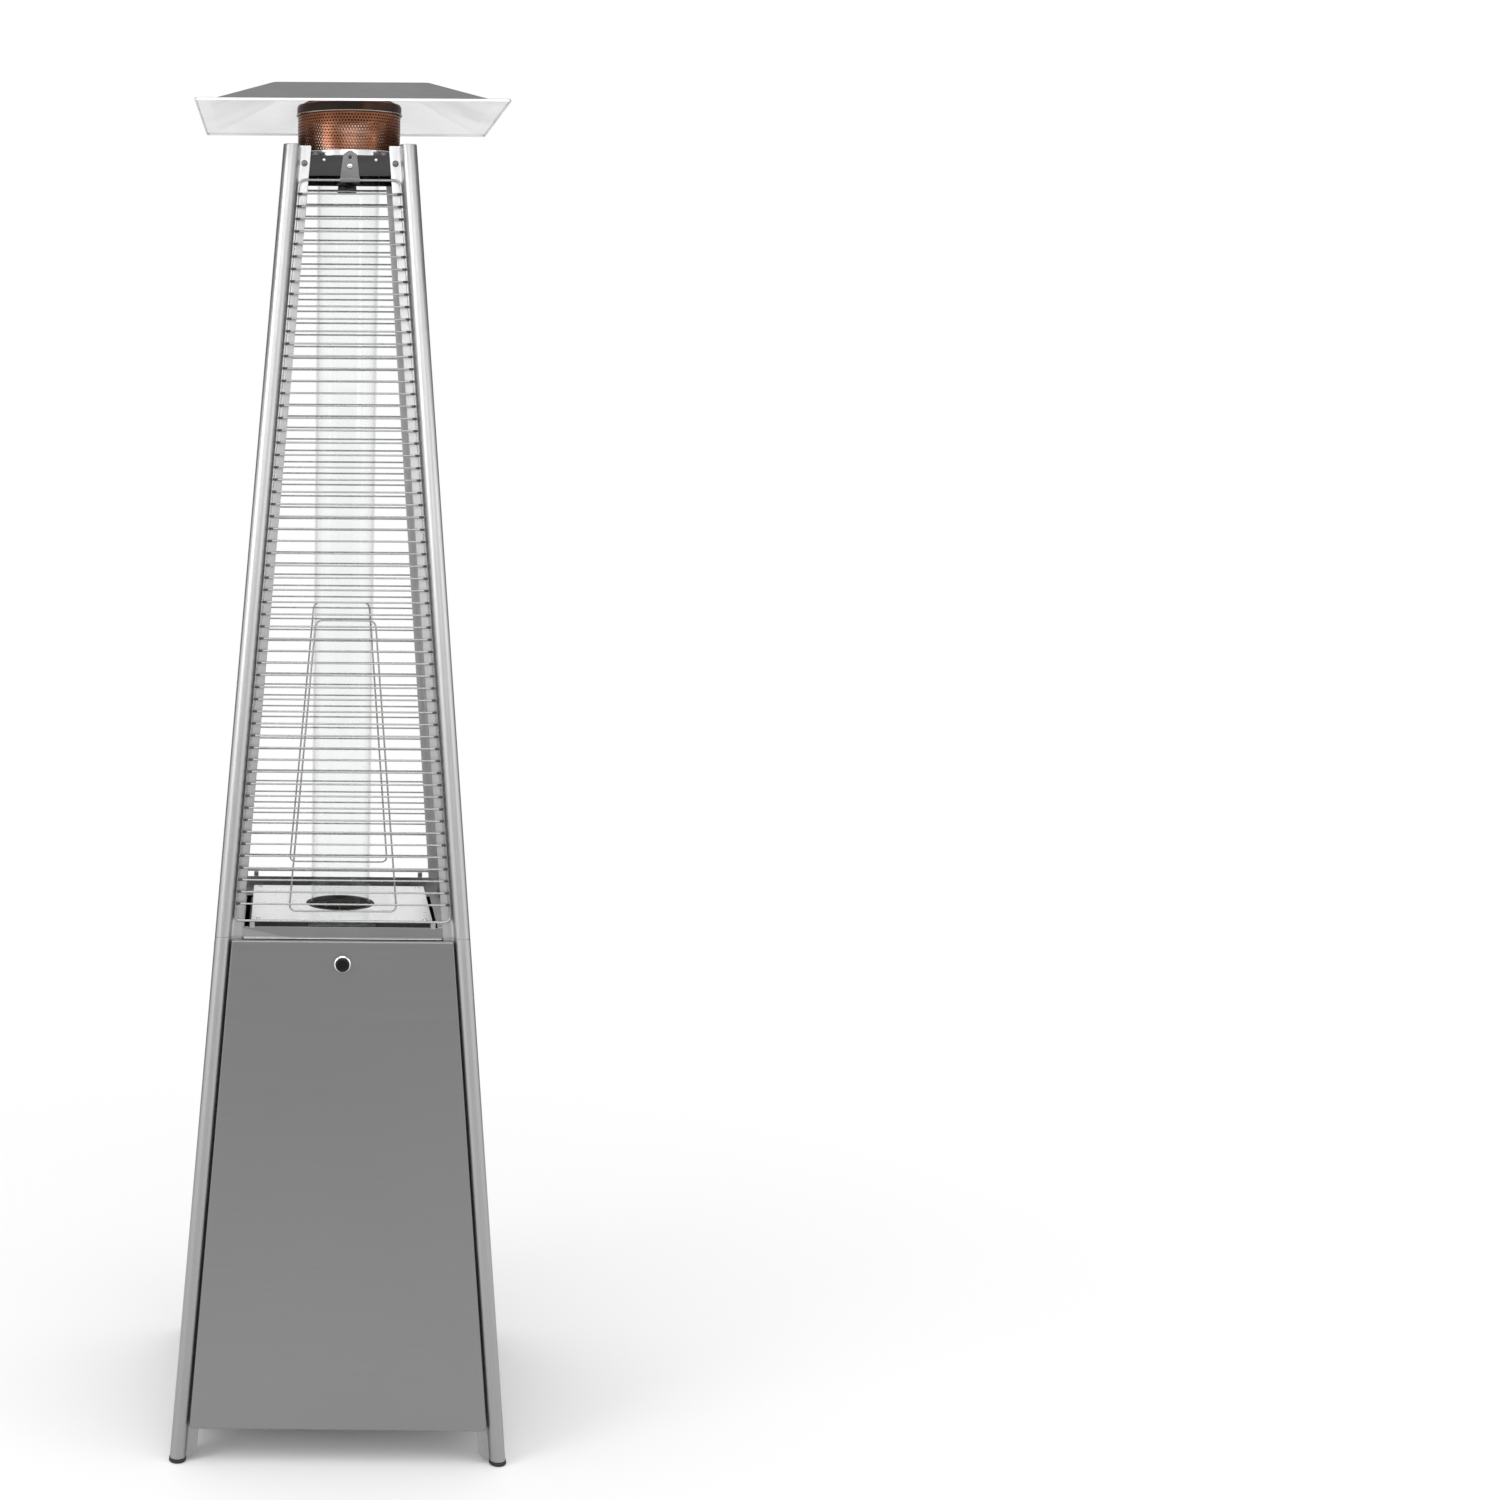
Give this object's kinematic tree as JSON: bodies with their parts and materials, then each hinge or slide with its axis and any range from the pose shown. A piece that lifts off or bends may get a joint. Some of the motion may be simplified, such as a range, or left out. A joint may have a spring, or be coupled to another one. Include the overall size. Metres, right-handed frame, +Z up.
{
  "type": "pyramid patio heater",
  "caption": "Tall four-legged gas patio heater: glass flame tube behind wire guards, square reflector on top, tilting door over a tank bay.",
  "frame": {"origin": "centre of the outline seen from above, at floor level, with the wheels counted", "axes": "+X to the heater's right as seen from the front, +Y away from the viewer through the rear panel, +Z up; the door faces -Y"},
  "size_m": [0.5706, 0.6254, 2.2853],
  "materials": {
    "brushed_steel": "brushed stainless steel, satin",
    "satin_panel": null,
    "bright_steel": "bright plated steel",
    "aluminium": "plain aluminium",
    "copper_screen": "perforated sheet coloured copper brown by heat",
    "scorched_steel": "steel darkened by heat",
    "dark_plate": "dark grey coated steel",
    "chrome_wire": "plated round wire",
    "brass": "machined brass",
    "ceramic": "glazed white ceramic",
    "black_plastic": "black moulded plastic",
    "black_rubber": "black rubber",
    "clear_glass": "clear heat-proof glass"
  },
  "bodies": {
    "heater_frame": {"foot_cap_front_left": "black_rubber", "lower_leg_front_left": "brushed_steel", "upper_leg_front_left": "brushed_steel", "foot_cap_front_right": "black_rubber", "lower_leg_front_right": "brushed_steel", "upper_leg_front_right": "brushed_steel", "foot_cap_rear_left": "black_rubber", "lower_leg_rear_left": "brushed_steel", "upper_leg_rear_left": "brushed_steel", "foot_cap_rear_right": "black_rubber", "lower_leg_rear_right": "brushed_steel", "upper_leg_rear_right": "brushed_steel", "guard_front": "chrome_wire", "guard_clip_front": "bright_steel", "guard_rear": "chrome_wire", "guard_clip_rear": "bright_steel", "rear_panel": "satin_panel", "guard_left": "chrome_wire", "guard_clip_left": "bright_steel", "left_panel": "satin_panel", "guard_right": "chrome_wire", "guard_clip_right": "bright_steel", "right_panel": "satin_panel", "door_hinge_pin_left": "bright_steel", "door_hinge_pin_right": "bright_steel", "base_plate": "brushed_steel", "wheel_bracket": "dark_plate", "wheel_axle": "bright_steel", "burner_shelf": "brushed_steel", "burner_box": "dark_plate", "burner_deck": "bright_steel", "burner_bowl": "scorched_steel", "burner_cap": "scorched_steel", "igniter_electrode": "ceramic", "thermocouple": "brass", "burner_nozzle": "brass", "gas_pipe": "aluminium", "gas_valve": "aluminium", "gas_inlet": "brass", "igniter_body": "black_plastic", "glass_tube": "clear_glass", "lower_tube_seal": "black_rubber", "upper_tube_ring": "bright_steel", "head_plate": "dark_plate", "screen_base_ring": "bright_steel", "flame_screen": "copper_screen", "screen_hood": "scorched_steel", "reflector": "aluminium", "reflector_nut_1": "bright_steel", "reflector_nut_2": "bright_steel", "reflector_nut_3": "bright_steel"},
    "front_door": {"front_door": "satin_panel", "latch_bezel": "bright_steel"},
    "door_latch": {"door_knob": "black_plastic", "latch_cam": "bright_steel"},
    "valve_stem": {"valve_stem": "bright_steel"},
    "control_knob": {"control_knob": "black_plastic"},
    "igniter_button": {"igniter_button": "black_plastic"},
    "wheel_left": {"wheel_left": "black_rubber"},
    "wheel_right": {"wheel_right": "black_rubber"}
  },
  "joints": [
    {"name": "door_hinge", "type": "hinge", "parent": "heater_frame", "child": "front_door", "pos_m": [0, -0.3001, 0.0635], "axis": [1, 0, 0], "range_deg": [0, 90]},
    {"name": "door_latch_turn", "type": "hinge", "parent": "front_door", "child": "door_latch", "pos_m": [0, -0.24121, 0.8515], "axis": [0, -0.9967, 0.0808], "range_deg": [0, 90]},
    {"name": "valve_turn", "type": "hinge", "parent": "heater_frame", "child": "valve_stem", "pos_m": [-0.042, -0.15825, 0.8457], "axis": [0, -1, 0], "range_deg": [0, 180]},
    {"name": "knob_push", "type": "slide", "parent": "valve_stem", "child": "control_knob", "axis": [0, 1, 0], "range_m": [0, 0.004], "stiffness_N_per_m": 1000, "springref_m": -0.004},
    {"name": "igniter_push", "type": "slide", "parent": "heater_frame", "child": "igniter_button", "axis": [0, 1, 0], "range_m": [0, 0.006], "stiffness_N_per_m": 800, "springref_m": -0.005},
    {"name": "wheel_left_spin", "type": "hinge", "parent": "heater_frame", "child": "wheel_left", "pos_m": [-0.19, 0.28275, 0.036], "axis": [1, 0, 0], "continuous": true},
    {"name": "wheel_right_spin", "type": "hinge", "parent": "heater_frame", "child": "wheel_right", "pos_m": [0.19, 0.28275, 0.036], "axis": [1, 0, 0], "continuous": true}
  ]
}
